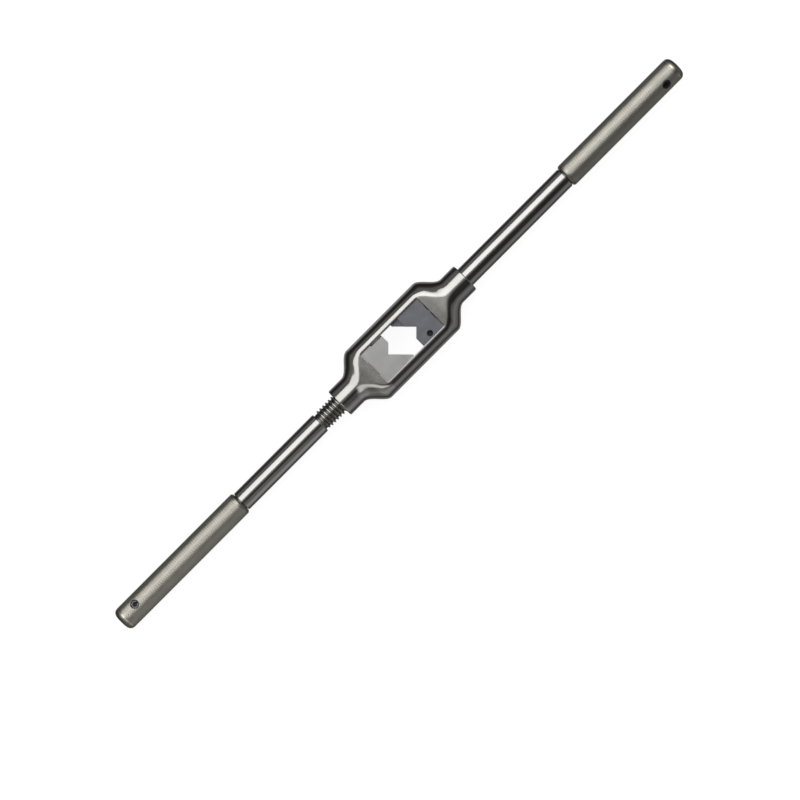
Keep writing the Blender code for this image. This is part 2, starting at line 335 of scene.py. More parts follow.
@dataclass(frozen=True)
class Finish(ABC):
    """A metal finish that belongs to one slot of the record."""

    slot: Slot
    bright: Colour
    dark: Colour
    smooth: float
    rough: float
    contrast: float = 1.6
    dullness: float = 0.0

    @abstractmethod
    def shade(self, surface: Surface) -> bpy.types.Material:
        """Build the finish on a surface."""

    def material(self) -> bpy.types.Material:
        """The finish's material, made once."""
        name = f"{self.slot.value}_finish"
        return bpy.data.materials.get(name) or self.shade(Surface(name))

    def between(self, surface: Surface, amount: Number) -> Number:
        """A roughness between the finish's smooth and rough ends.

        Args:
            surface: the surface that is being shaded.
            amount: 0 or less for smooth, 1 or more for rough.

        Returns:
            The roughness.
        """
        return self.smooth + (self.rough - self.smooth) * surface.clamp(amount)

    def clouded(self, surface: Surface, patches: Number) -> Number:
        """The dark and the bright colour, mixed in patches.

        Args:
            surface: the surface that is being shaded.
            patches: noise from 0 for dark to 1 for bright.

        Returns:
            The mixed colour.
        """
        shift = (self.contrast - 1) / 2 + self.dullness
        return surface.blend(surface.clamp(patches * self.contrast - shift), self.dark, self.bright)


@dataclass(frozen=True)
class PlatedForging(Finish):
    """Polished nickel plate that still shows the forging's soft skin and its ground parting line."""

    contrast: float = 1.5
    dullness: float = 0.05
    skin_depth: float = 0.010
    scratch_depth: float = 0.0012
    flash_half_width: float = 0.55
    peel: Grain = Grain(0.45, 0.55, 0.55, 3.0)
    cloud: Grain = Grain(0.12, 0.16, 0.16, 4.0, 0.6)
    scratch: Grain = Grain(1.2, 26.0, 26.0, 3.0, 0.65)
    pit: Grain = Grain(2.6, 2.6, 2.6)
    grind: Grain = Grain(5.0, 1.0, 40.0)

    def shade(self, surface: Surface) -> bpy.types.Material:
        """Orange peel, fine polishing scratches, cloudy plate, and a parting line half way up.

        Args:
            surface: the surface to shade.

        Returns:
            The finished material.
        """
        peel = surface.noise(self.peel)
        cloud = surface.noise(self.cloud)
        scratch = surface.noise(self.scratch)
        pits = surface.step(surface.noise(self.pit), 0.70, 0.78)
        off_middle = abs(surface.z - AXIS_HEIGHT / MM)
        flash = surface.step(off_middle, self.flash_half_width, self.flash_half_width / 2)
        flash_grind = flash * surface.noise(self.grind)
        colour = surface.blend(pits * 0.5, self.clouded(surface, cloud), self.dark)
        wear = cloud * 0.45 + scratch * 0.35 + pits * 0.4 + flash_grind * 0.8
        normal = surface.relief(peel, self.skin_depth)
        normal = surface.relief(scratch + flash_grind * 3.0 - pits * 2.0, self.scratch_depth, normal)
        return surface.metal(colour, self.between(surface, wear), normal)


@dataclass(frozen=True)
class PlatedBar(Finish):
    """Bright drawn bar with nickel plate: fine rings from turning under long draw lines."""

    contrast: float = 1.4
    ring_depth: float = 0.0010
    line_depth: float = 0.0014
    root_radius: float = 3.1
    crest_radius: float = 3.85
    oil: Colour = (0.16, 0.15, 0.13)
    ring: Grain = Grain(24.0, 0.5, 0.5, 3.0, 0.6)
    line: Grain = Grain(0.10, 11.0, 11.0, 3.0, 0.6)
    cloud: Grain = Grain(0.10, 0.30, 0.30, 3.0, 0.6)

    def shade(self, surface: Surface) -> bpy.types.Material:
        """Rings and draw lines, with the colour darker wherever the surface lies below the crest radius.

        Args:
            surface: the surface to shade.

        Returns:
            The finished material.
        """
        rings = surface.noise(self.ring)
        lines = surface.noise(self.line)
        cloud = surface.noise(self.cloud)
        # The colour turns darker below the crest radius, up to three quarters of the way to a dark brown at
        # the thread's roots and on the narrower nose.
        low = surface.step(surface.radius(), self.crest_radius, self.root_radius)
        colour = surface.blend(low * 0.75, self.clouded(surface, cloud), self.oil)
        wear = cloud * 0.5 + rings * 0.3 + low * 0.8
        normal = surface.relief(lines, self.line_depth)
        normal = surface.relief(rings, self.ring_depth, normal)
        return surface.metal(colour, self.between(surface, wear), normal)


@dataclass(frozen=True)
class SatinKnurl(Finish):
    """Satin steel whose knurl is coloured lighter on its points and darker in its grooves."""

    groove_radius: float = 4.528
    crest_radius: float = 4.556
    grain_depth: float = 0.004
    grime: Colour = (0.36, 0.335, 0.285)
    patch: Grain = Grain(0.16, 0.30, 0.30, 4.0, 0.6)
    grain: Grain = Grain(9.0, 9.0, 9.0, 3.0, 0.6)

    def shade(self, surface: Surface) -> bpy.types.Material:
        """Darker colour by depth, lighter points, and a handled patchiness along the grip.

        Args:
            surface: the surface to shade.

        Returns:
            The finished material.
        """
        patch = surface.noise(self.patch)
        grain = surface.noise(self.grain)
        crest = surface.step(surface.radius(), self.groove_radius, self.crest_radius)
        # The colour turns darker towards the grooves and stays lighter towards the points, by distance from
        # the axis.
        raised = surface.clamp(crest * 0.9 + patch * 0.35 - 0.05)
        colour = surface.blend(raised, self.grime, self.clouded(surface, patch))
        wear = 1.0 - crest * 0.55 + (grain - 0.5) * 0.5
        return surface.metal(colour, self.between(surface, wear), surface.relief(grain, self.grain_depth))


@dataclass(frozen=True)
class GroundFace(Finish):
    """Hardened steel, surface ground in straight passes."""

    pass_depth: float = 0.0022
    tint: Colour = (0.52, 0.50, 0.52)
    fine: Grain = Grain(16.0, 0.35, 4.0, 3.0, 0.65)
    coarse: Grain = Grain(3.2, 0.12, 1.4)
    cloud: Grain = Grain(0.25, 0.25, 0.25, 4.0, 0.6)

    def shade(self, surface: Surface) -> bpy.types.Material:
        """Grinding lines across the handles, a few deeper ones, and faint clouds.

        Args:
            surface: the surface to shade.

        Returns:
            The finished material.
        """
        fine = surface.noise(self.fine)
        cloud = surface.noise(self.cloud)
        deep = surface.step(surface.noise(self.coarse), 0.62, 0.72)
        colour = surface.blend(deep * 0.45 + fine * 0.25, self.clouded(surface, cloud), self.tint)
        wear = fine * 0.55 + cloud * 0.45
        normal = surface.relief(fine + deep, self.pass_depth)
        return surface.metal(colour, self.between(surface, wear), normal)


@dataclass(frozen=True)
class HeatBlued(Finish):
    """A ground face after heat treatment, under a thin blue-grey oxide."""

    contrast: float = 2.0
    pass_depth: float = 0.0022
    straw: Colour = (0.27, 0.24, 0.23)
    fine: Grain = Grain(16.0, 0.35, 4.0, 3.0, 0.65)
    drift: Grain = Grain(0.22, 0.30, 0.22, 4.0, 0.65)
    warmth: Grain = Grain(0.35, 0.28, 0.35, 3.0)

    def shade(self, surface: Surface) -> bpy.types.Material:
        """Oxide in drifting blue, slate and straw patches over grinding lines.

        Args:
            surface: the surface to shade.

        Returns:
            The finished material.
        """
        fine = surface.noise(self.fine)
        drift = surface.noise(self.drift)
        warm = surface.step(surface.noise(self.warmth), 0.56, 0.74)
        colour = surface.blend(warm * 0.45, self.clouded(surface, drift), self.straw)
        wear = fine * 0.55 + drift * 0.45
        return surface.metal(colour, self.between(surface, wear), surface.relief(fine, self.pass_depth))


@dataclass(frozen=True)
class DarkPin(Finish):
    """Dark spring steel with an oily, slightly mottled skin."""

    contrast: float = 1.8
    grain_depth: float = 0.003
    mottle: Grain = Grain(1.4, 1.4, 1.4, 4.0, 0.6)
    grain: Grain = Grain(12.0, 12.0, 12.0)

    def shade(self, surface: Surface) -> bpy.types.Material:
        """Mottled oxide over fine grain.

        Args:
            surface: the surface to shade.

        Returns:
            The finished material.
        """
        mottle = surface.noise(self.mottle)
        normal = surface.relief(surface.noise(self.grain), self.grain_depth)
        return surface.metal(self.clouded(surface, mottle), self.between(surface, mottle), normal)


FORGED_NICKEL = PlatedForging(Slot.FORGED, (0.66, 0.65, 0.62), (0.54, 0.53, 0.50), 0.10, 0.26)
ROD_NICKEL = PlatedBar(Slot.ROD, (0.68, 0.67, 0.64), (0.57, 0.56, 0.53), 0.10, 0.26)
KNURLED_STEEL = SatinKnurl(Slot.KNURLED, (0.88, 0.85, 0.76), (0.76, 0.73, 0.65), 0.24, 0.40)
GROUND_STEEL = GroundFace(Slot.GROUND, (0.62, 0.615, 0.605), (0.52, 0.517, 0.512), 0.28, 0.48)
BLUED_STEEL = HeatBlued(Slot.BLUED, (0.27, 0.275, 0.30), (0.20, 0.205, 0.225), 0.30, 0.50)
PIN_STEEL = DarkPin(Slot.PIN, (0.26, 0.255, 0.25), (0.10, 0.10, 0.10), 0.28, 0.46)


# ---------------------------------------------------------------- workshop

FRAME_LOW, FRAME_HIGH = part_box("frame")
AXIS_HEIGHT = (FRAME_LOW.z + FRAME_HIGH.z) / 2
FRAME_MIDDLE_X = (FRAME_LOW.x + FRAME_HIGH.x) / 2
TOOL_HALF_LENGTH = (CAD_BOX[1].x - CAD_BOX[0].x) / 2
GAP = 0.3 * MM
RUNNING_GAP = 0.15 * MM
OVERCUT = 1.0 * MM
WELD = 1e-6
CREASE = math.radians(30.0)


def arc(centre: tuple[float, float], radius: float, start: float, end: float, steps: int) -> Profile:
    """Points along a circular arc.

    Args:
        centre: the circle's centre.
        radius: its radius.
        start: first angle, in radians.
        end: last angle, in radians.
        steps: how many chords it is cut into.

    Returns:
        The points, both ends included.
    """
    angles = [start + (end - start) * k / steps for k in range(steps + 1)]
    return [(centre[0] + radius * math.cos(a), centre[1] + radius * math.sin(a)) for a in angles]


def divided(outline: Profile, longest: float) -> Profile:
    """Cut the long sides of a closed outline into short ones.

    Args:
        outline: its points, once round.
        longest: the longest side that is left whole.

    Returns:
        The outline with the added points.
    """
    points = []
    for start, end in zip(outline, outline[1:] + outline[:1]):
        parts = math.ceil(math.dist(start, end) / longest)
        for k in range(parts):
            points.append(tuple(a + (b - a) * k / parts for a, b in zip(start, end)))
    return points


def turned(profile: Profile, around: int) -> bmesh.types.BMesh:
    """Turn a profile about the axis.

    Args:
        profile: (x, radius) points; a radius of 0 is a pole.
        around: how many sides the turned piece has.

    Returns:
        The skin, open where the profile ends off the axis.
    """
    bm = bmesh.new()
    rows = []
    for x, radius in profile:
        if radius == 0:
            rows.append([bm.verts.new((x, 0, AXIS_HEIGHT))] * around)
            continue
        angles = [2 * math.pi * k / around for k in range(around)]
        places = [(x, radius * math.cos(a), AXIS_HEIGHT + radius * math.sin(a)) for a in angles]
        rows.append([bm.verts.new(place) for place in places])
    for row, following in zip(rows, rows[1:]):
        for k in range(around):
            corners = dict.fromkeys((row[k], row[k - 1], following[k - 1], following[k]))
            bm.faces.new(list(corners))
    return bm


def stacked(rings: list[list[Vector]]) -> bmesh.types.BMesh:
    """Skin a stack of rings with as many points each, and close both ends.

    Args:
        rings: the rings, from one end to the other.

    Returns:
        The closed skin.
    """
    bm = bmesh.new()
    rows = [[bm.verts.new(point) for point in ring] for ring in rings]
    for row, following in zip(rows, rows[1:]):
        for k in range(len(row)):
            bm.faces.new((row[k - 1], row[k], following[k], following[k - 1]))
    bm.faces.new(rows[0])
    bm.faces.new(rows[-1])
    return bm


def as_mesh(bm: bmesh.types.BMesh, name: str) -> bpy.types.Mesh:
    """Make a skin a mesh.

    Args:
        bm: the skin, which is used up.
        name: the mesh's name.

    Returns:
        The mesh.
    """
    mesh = bpy.data.meshes.new(name)
    bm.to_mesh(mesh)
    bm.free()
    return mesh


def swap_mesh(obj: bpy.types.Object, mesh: bpy.types.Mesh) -> None:
    """Give an object another mesh and remove the spent one.

    Args:
        obj: the object.
        mesh: its new mesh.
    """
    spent = obj.data
    obj.data = mesh
    bpy.data.meshes.remove(spent)


def tidy(bm: bmesh.types.BMesh, name: str) -> bpy.types.Mesh:
    """Weld a skin, point its faces outwards and make it a mesh.

    Args:
        bm: the skin, which is used up.
        name: the mesh's name.

    Returns:
        The mesh.
    """
    bmesh.ops.remove_doubles(bm, verts=bm.verts, dist=WELD)
    bmesh.ops.recalc_face_normals(bm, faces=bm.faces)
    return as_mesh(bm, name)


def joined(skin: bpy.types.Object, profiles: list[Profile], around: int) -> None:
    """Weld turned parts onto a skin.

    Args:
        skin: the skin.
        profiles: the profile of each turned part.
        around: how many sides the skin and the parts have.
    """
    bm = bmesh.new()
    bm.from_mesh(skin.data)
    for profile in profiles:
        part = as_mesh(turned(profile, around), "part")
        bm.from_mesh(part)
        bpy.data.meshes.remove(part)
    swap_mesh(skin, tidy(bm, skin.name))


def set_down(data: bpy.types.ID, name: str) -> bpy.types.Object:
    """Put something in the scene at the origin.

    Args:
        data: a mesh, lamp or camera.
        name: the object's name.

    Returns:
        The object.
    """
    obj = bpy.data.objects.new(name, data)
    bpy.context.scene.collection.objects.link(obj)
    return obj


def baked(obj: bpy.types.Object) -> bpy.types.Object:
    """Turn an object's modifiers into plain mesh.

    Args:
        obj: the object, which keeps its name.

    Returns:
        The same object, without modifiers.
    """
    bpy.context.view_layer.update()
    graph = bpy.context.evaluated_depsgraph_get()
    mesh = bpy.data.meshes.new_from_object(obj.evaluated_get(graph))
    mesh.name = obj.name
    obj.modifiers.clear()
    swap_mesh(obj, mesh)
    return obj


def cut(obj: bpy.types.Object, cutters: list[bmesh.types.BMesh]) -> bpy.types.Object:
    """Take closed shapes out of an object.

    Args:
        obj: the object.
        cutters: the shapes, which are used up.

    Returns:
        The same object, cut.
    """
    tools = []
    for number, bm in enumerate(cutters):
        name = f"{obj.name}_cutter_{number}"
        tool = set_down(tidy(bm, name), name)
        tool.data.shade_smooth()
        boolean = obj.modifiers.new("cut", "BOOLEAN")
        boolean.operation = "DIFFERENCE"
        boolean.solver = "EXACT"
        boolean.object = tool
        tools.append(tool)
    baked(obj)
    for tool in tools:
        spent = tool.data
        bpy.data.objects.remove(tool, do_unlink=True)
        bpy.data.meshes.remove(spent)
    return obj


def smoothed(obj: bpy.types.Object, crease: float = CREASE) -> bpy.types.Object:
    """Shade round sides smooth and keep flats flat up to their rounded edges.

    Args:
        obj: the object.
        crease: the angle from which an edge stays sharp.

    Returns:
        The same object.
    """
    obj.data.shade_smooth()
    obj.data.set_sharp_from_angle(angle=crease)
    weighted = obj.modifiers.new("flats", "WEIGHTED_NORMAL")
    weighted.keep_sharp = True
    return baked(obj)


def finished(obj: bpy.types.Object, finish: Finish, body: Body, *nodes: str) -> bpy.types.Object:
    """Dress a finished piece and mount it.

    Args:
        obj: the piece.
        finish: its metal.
        body: the body it moves with.
        nodes: the plain pieces that it stands for.

    Returns:
        The same object.
    """
    obj.data.materials.clear()
    obj.data.materials.append(finish.material())
    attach(obj, body.value)
    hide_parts(*nodes)
    LOG.info("%s: %d faces, moves with %s", obj.name, len(obj.data.polygons), body.value)
    return obj


# ---------------------------------------------------------------- skins that follow a rule


@dataclass
class RuledSkin(ABC):
    """A skin of rows and columns whose points a node tree places by rule."""

    rows: int
    columns: int
    weld: float = WELD
    axis_height: float = AXIS_HEIGHT

    def sizes(self) -> dict[str, float]:
        """Every size that isn't a count.

        Returns:
            The sizes, each under the name of its input.
        """
        return {
            size.name.replace("_", " ").title(): getattr(self, size.name)
            for size in fields(self)
            if isinstance(getattr(self, size.name), float)
        }

    @abstractmethod
    def rule(self, tree: Tree, row: Number, column: Number, size: dict[str, Number]) -> list[Number]:
        """Give x, y and z of a point.

        Args:
            tree: the tree to build in.
            row: the point's row, from 0.
            column: its column, from 0; the last one closes on the first.
            size: the named sizes.

        Returns:
            x, y and z, with y and z counted from the axis.
        """

    def finish_skin(self, tree: Tree, skin: NodeSocket) -> NodeSocket:
        """Do whatever else the placed skin needs.

        Args:
            tree: the tree to build in.
            skin: the placed skin.

        Returns:
            The skin, here as it came.
        """
        return skin

    def build(self, name: str, finish: Finish) -> bpy.types.Object:
        """Make the skin.

        Args:
            name: the object's name.
            finish: the metal that the tree sets.

        Returns:
            The skin as plain mesh.
        """
        group = bpy.data.node_groups.new(f"{name}_rule", "GeometryNodeTree")
        tree = Tree(group)
        sockets = {}
        for label in self.sizes():
            sockets[label] = group.interface.new_socket(label, in_out="INPUT", socket_type="NodeSocketFloat")
        metal = group.interface.new_socket("Metal", in_out="INPUT", socket_type="NodeSocketMaterial")
        group.interface.new_socket("Skin", in_out="OUTPUT", socket_type="NodeSocketGeometry")
        inputs = tree.add("NodeGroupInput")
        size = {label: tree.number(inputs, label) for label in sockets}

        grid_values = {"Size X": 1.0, "Size Y": 1.0, "Vertices X": self.rows, "Vertices Y": self.columns + 1}
        grid = tree.add("GeometryNodeMeshGrid", None, grid_values)
        grid_x, grid_y, _ = tree.axes(tree.add("GeometryNodeInputPosition").outputs[0])
        row = tree.math("ROUND", (grid_x + 0.5) * (self.rows - 1.0))
        column = tree.math("ROUND", (grid_y + 0.5) * float(self.columns))
        x, y, z = self.rule(tree, row, column, size)
        point = tree.add("ShaderNodeCombineXYZ", None, {0: x, 1: y, 2: z + size["Axis Height"]})
        placing = {"Geometry": grid.outputs["Mesh"], "Position": point.outputs[0]}
        placed = tree.add("GeometryNodeSetPosition", None, placing)
        skin = self.finish_skin(tree, placed.outputs[0])
        welded = tree.add("GeometryNodeMergeByDistance", None, {"Geometry": skin, "Distance": size["Weld"]})
        real = tree.add("GeometryNodeRealizeInstances", None, {0: welded.outputs[0]})
        dressing = {"Geometry": real.outputs[0], "Material": inputs.outputs["Metal"]}
        dressed = tree.add("GeometryNodeSetMaterial", None, dressing)
        tree.add("NodeGroupOutput", None, {0: dressed.outputs[0]})

        obj = set_down(bpy.data.meshes.new(name), name)
        modifier = obj.modifiers.new("rule", "NODES")
        modifier.node_group = group
        for label, value in self.sizes().items():
            modifier[sockets[label].identifier] = value
        modifier[metal.identifier] = finish.material()
        baked(obj)
        bpy.data.node_groups.remove(group)
        return obj


@dataclass
class ForgedShell(RuledSkin):
    """The frame's outside: two half ellipses joined by flats, swelling from neck to body."""

    middle: float = FRAME_MIDDLE_X
    neck_end: float = 31.7 * MM
    neck_radius: float = 5.8 * MM
    end_round: float = 0.5 * MM
    half_width: float = 11.6 * MM
    half_height: float = 7.0 * MM
    half_flat: float = 7.4 * MM
    shoulder_outer: float = 25.0 * MM
    shoulder_inner: float = 16.8 * MM
    flat_outer: float = 22.6 * MM
    flat_inner: float = 13.4 * MM
    round_rows: int = 5
    side_share: float = 0.84

    def rule(self, tree: Tree, row: Number, column: Number, size: dict[str, Number]) -> list[Number]:
        """Place a point on the section at its distance from the frame's middle.

        Args:
            tree: the tree to build in.
            row: the point's row along X.
            column: its column round the section.
            size: the named sizes.

        Returns:
            x, y and z, with y and z counted from the axis.
        """
        last = self.rows - 1.0
        from_end = tree.math("MINIMUM", row, last - row)
        turn = tree.clamp((from_end - 1.0) / (self.round_rows - 1.0)) * (math.pi / 2)
        along = tree.clamp((row - self.round_rows) / (last - 2.0 * self.round_rows)) * 2.0 - 1.0
        beyond = size["End Round"] * tree.math("COSINE", turn)
        x = along * (size["Neck End"] - size["End Round"]) + tree.math("SIGN", along) * beyond
        shrink = size["End Round"] * (1.0 - tree.math("SINE", turn))

        distance = abs(x)
        swell = tree.step(distance, size["Shoulder Outer"], size["Shoulder Inner"])
        neck = size["Neck Radius"]
        width = neck + (size["Half Width"] - neck) * swell - shrink
        height = neck + (size["Half Height"] - neck) * swell - shrink
        flat = size["Half Flat"] * tree.step(distance, size["Flat Outer"], size["Flat Inner"])

        halves = column * (2.0 / self.columns)
        part = tree.math("FRACT", halves)
        sign = 1.0 - 2.0 * tree.math("MODULO", tree.math("FLOOR", halves), 2.0)
        share = size["Side Share"]
        angle = tree.clamp(part / share) * math.pi - math.pi / 2
        across = tree.clamp((part - share) / (1.0 - share)) * 2.0
        y = flat + (width - flat) * tree.math("COSINE", angle) - flat * across
        z = height * tree.math("SINE", angle)
        whole = tree.math("MINIMUM", from_end, 1.0) * sign
        return [x + size["Middle"], y * whole, z * whole]


@dataclass
class ScrewThread(RuledSkin):
    """A right-hand thread whose rows follow the helix and whose ends run out to the root."""

    start: float = 0.0
    end: float = 1.0
    pitch: float = 1.411 * MM
    crest: float = 3.9 * MM
    root: float = 3.1 * MM
    per_turn: int = 12
    run_out: float = 1.0 * MM
    flat_share: float = 0.15

    @classmethod
    def rows_between(cls, start: float, end: float) -> int:
        """How many rows the helix needs from end to end, with one turn to close on."""
        return math.ceil((end - start) / cls.pitch * cls.per_turn) + cls.per_turn + 2

    def rule(self, tree: Tree, row: Number, column: Number, size: dict[str, Number]) -> list[Number]:
        """Place a point on the thread's flank, crest or root.

        Args:
            tree: the tree to build in.
            row: the point's row along the helix.
            column: its column round the axis.
            size: the named sizes.

        Returns:
            x, y and z, with y and z counted from the axis.
        """
        turns = column / float(self.columns)
        free = size["Start"] + size["Pitch"] * (row / float(self.per_turn) + turns - 1.0)
        x = tree.math("MINIMUM", tree.math("MAXIMUM", free, size["Start"]), size["End"])
        from_end = tree.math("MINIMUM", x - size["Start"], size["End"] - x)
        wave = abs(tree.math("FRACT", row / float(self.per_turn)) * 2.0 - 1.0)
        flank = (wave - size["Flat Share"]) / (1.0 - 2.0 * size["Flat Share"])
        rise = tree.clamp(flank) * tree.clamp(from_end / size["Run Out"])
        radius = size["Root"] + (size["Crest"] - size["Root"]) * rise
        angle = turns * (2 * math.pi)
        return [x, radius * tree.math("COSINE", angle), radius * tree.math("SINE", angle)]


@dataclass
class DiamondKnurl(RuledSkin):
    """A knurled sleeve: points and grooves by turns, with a plain row at each end."""

    start: float = 0.0
    end: float = 1.0
    crest: float = 4.575 * MM
    groove: float = 4.53 * MM
    plain: float = 4.54 * MM

    def rule(self, tree: Tree, row: Number, column: Number, size: dict[str, Number]) -> list[Number]:
        """Place a point of the knurl, high or low by turns.

        Args:
            tree: the tree to build in.
            row: the point's row along X.
            column: its column round the axis.
            size: the named sizes.

        Returns:
            x, y and z, with y and z counted from the axis.
        """
        last = self.rows - 1.0
        high = tree.math("MODULO", row + column, 2.0)
        inside = tree.math("MINIMUM", tree.math("MINIMUM", row, last - row), 1.0)
        worked = size["Groove"] + (size["Crest"] - size["Groove"]) * high
        radius = size["Plain"] + (worked - size["Plain"]) * inside
        x = size["Start"] + (size["End"] - size["Start"]) * (row / last)
        angle = column * (2 * math.pi / self.columns)
        return [x, radius * tree.math("COSINE", angle), radius * tree.math("SINE", angle)]

    def finish_skin(self, tree: Tree, skin: NodeSocket) -> NodeSocket:
        """Fold each cell along its groove, which is its shorter diagonal.

        Args:
            tree: the tree to build in.
            skin: the placed skin.

        Returns:
            The folded skin.
        """
        folded = tree.add("GeometryNodeTriangulate", {"quad_method": "SHORTEST_DIAGONAL"}, {0: skin})
        return folded.outputs[0]


# ---------------------------------------------------------------- sub-assemblies


@dataclass
class ForgedFrame:
    """The forging with its window and the bores of its two necks."""

    shell: ForgedShell = field(default_factory=lambda: ForgedShell(rows=180, columns=136))
    window_half_length: float = 14.25 * MM
    window_half_width: float = 6.88 * MM
    window_corner: float = 0.18 * MM
    edge_round: float = 0.08 * MM
    longest_side: float = 0.35 * MM
    bore_radius: float = 4.15 * MM
    mouth: float = 0.5 * MM
    round_steps: int = 4
    corner_steps: int = 6
    bore_steps: int = 72

    def window_ring(self, grow: float, z: float) -> list[Vector]:
        """The window's outline at a height.

        Args:
            grow: how far it is grown all round.
            z: its height.

        Returns:
            The outline's points, once round.
        """
        points = []
        for number, (side_x, side_y) in enumerate(((1, 1), (-1, 1), (-1, -1), (1, -1))):
            centre_x = FRAME_MIDDLE_X + side_x * (self.window_half_length - self.window_corner)
            centre_y = side_y * (self.window_half_width - self.window_corner)
            start = number * math.pi / 2
            radius = self.window_corner + grow
            points += arc((centre_x, centre_y), radius, start, start + math.pi / 2, self.corner_steps)
        return [Vector((x, y, z)) for x, y in divided(points, self.longest_side)]

    def window_cutter(self) -> bmesh.types.BMesh:
        """The window, flared at both faces so that it leaves rounded edges.

        Returns:
            The shape to take out.
        """
        half = self.shell.half_height
        flare = [(self.edge_round, half + OVERCUT)]
        for k in range(self.round_steps + 1):
            angle = math.pi / 2 * k / self.round_steps
            grow = self.edge_round * (1 - math.sin(angle))
            flare.append((grow, half - self.edge_round * (1 - math.cos(angle))))
        rings = [self.window_ring(grow, AXIS_HEIGHT + up) for grow, up in flare]
        rings += [self.window_ring(grow, AXIS_HEIGHT - up) for grow, up in reversed(flare)]
        return stacked(rings)

    def bore_cutter(self, side: Side) -> bmesh.types.BMesh:
        """A neck's bore with its chamfered mouth.

        Args:
            side: the neck.

        Returns:
            The shape to take out.
        """
        inner = self.window_half_length - OVERCUT
        end = self.shell.neck_end
        profile = [
            (inner, 0),
            (inner, self.bore_radius),
            (end - self.mouth, self.bore_radius),
            (end, self.bore_radius + self.mouth),
            (end + OVERCUT, self.bore_radius + self.mouth + OVERCUT),
            (end + OVERCUT, 0),
        ]
        return turned([(FRAME_MIDDLE_X + side.value * x, radius) for x, radius in profile], self.bore_steps)

    def build(self) -> None:
        """Forge, cut and plate the frame."""
        forging = self.shell.build("forged_frame", FORGED_NICKEL)
        forging.data.shade_smooth()
        cutters = [self.window_cutter(), self.bore_cutter(Side.ADJUSTING), self.bore_cutter(Side.FIXED)]
        finished(smoothed(cut(forging, cutters)), FORGED_NICKEL, Body.FRAME, "frame")


@dataclass
class VeeJaw:
    """A V jaw and the two cross pins that hold a rod's nose in it."""

    node: str
    body: Body
    finish: Finish
    back_fit: float = 0.08 * MM
    side_fit: float = 0.08 * MM
    edge_break: float = 0.10 * MM
    edge_steps: int = 2
    flatness: float = math.radians(0.5)
    crease: float = math.radians(40.0)
    pin_chamfer: float = 0.15 * MM
    pin_steps: int = 36

    def widen(self, bm: bmesh.types.BMesh) -> None:
        """Move the jaw's sides and back out to a close fit in the window.

        Args:
            bm: the jaw's mesh, with the plain piece's wider gaps.
        """
        low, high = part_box(self.node)
        slides = self.body is Body.SLIDING_JAW
        back, outwards = (low.x, -1) if slides else (high.x, 1)
        fitted_back = FRAME_MIDDLE_X + outwards * (ForgedFrame.window_half_length - self.back_fit)
        fitted_side = ForgedFrame.window_half_width - self.side_fit
        for vert in bm.verts:
            if abs(vert.co.y) > high.y - WELD:
                vert.co.y = math.copysign(fitted_side, vert.co.y)
            if abs(vert.co.x - back) < WELD:
                vert.co.x = fitted_back

    def build_jaw(self) -> None:
        """Take the plain jaw's shape, fit it to the window and break its edges."""
        bm = bmesh.new()
        bm.from_mesh(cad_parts[self.node].data)
        bmesh.ops.remove_doubles(bm, verts=bm.verts, dist=WELD)
        self.widen(bm)
        bmesh.ops.dissolve_limit(bm, angle_limit=self.flatness, verts=bm.verts, edges=bm.edges)
        jaw = set_down(as_mesh(bm, self.node), f"{self.node}_ground")
        bevel = jaw.modifiers.new("edges", "BEVEL")
        bevel.limit_method = "ANGLE"
        bevel.angle_limit = CREASE
        bevel.width = self.edge_break
        bevel.segments = self.edge_steps
        finished(smoothed(baked(jaw), self.crease), self.finish, self.body, self.node)

    def build_pin(self, level: str) -> None:
        """Turn one cross pin where the plain one lies.

        Args:
            level: upper or lower.
        """
        node = f"{self.node}_pin_{level}"
        low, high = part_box(node)
        middle = (low + high) / 2
        radius = (high.x - low.x) / 2
        half = (high.y - low.y) / 2
        profile = [
            (-half, 0),
            (-half, radius - self.pin_chamfer),
            (-half + self.pin_chamfer, radius),
            (half - self.pin_chamfer, radius),
            (half, radius - self.pin_chamfer),
            (half, 0),
        ]
        bm = turned(profile, self.pin_steps)
        to_cross = Matrix.Translation(middle) @ Matrix.Rotation(math.pi / 2, 4, "Z")
        bm.transform(to_cross @ Matrix.Translation((0, 0, -AXIS_HEIGHT)))
        pin = set_down(tidy(bm, node), f"{node}_turned")
        finished(smoothed(pin), PIN_STEEL, self.body, node)

    def build(self) -> None:
        """Build the jaw and both pins."""
        self.build_jaw()
        self.build_pin("upper")
        self.build_pin("lower")


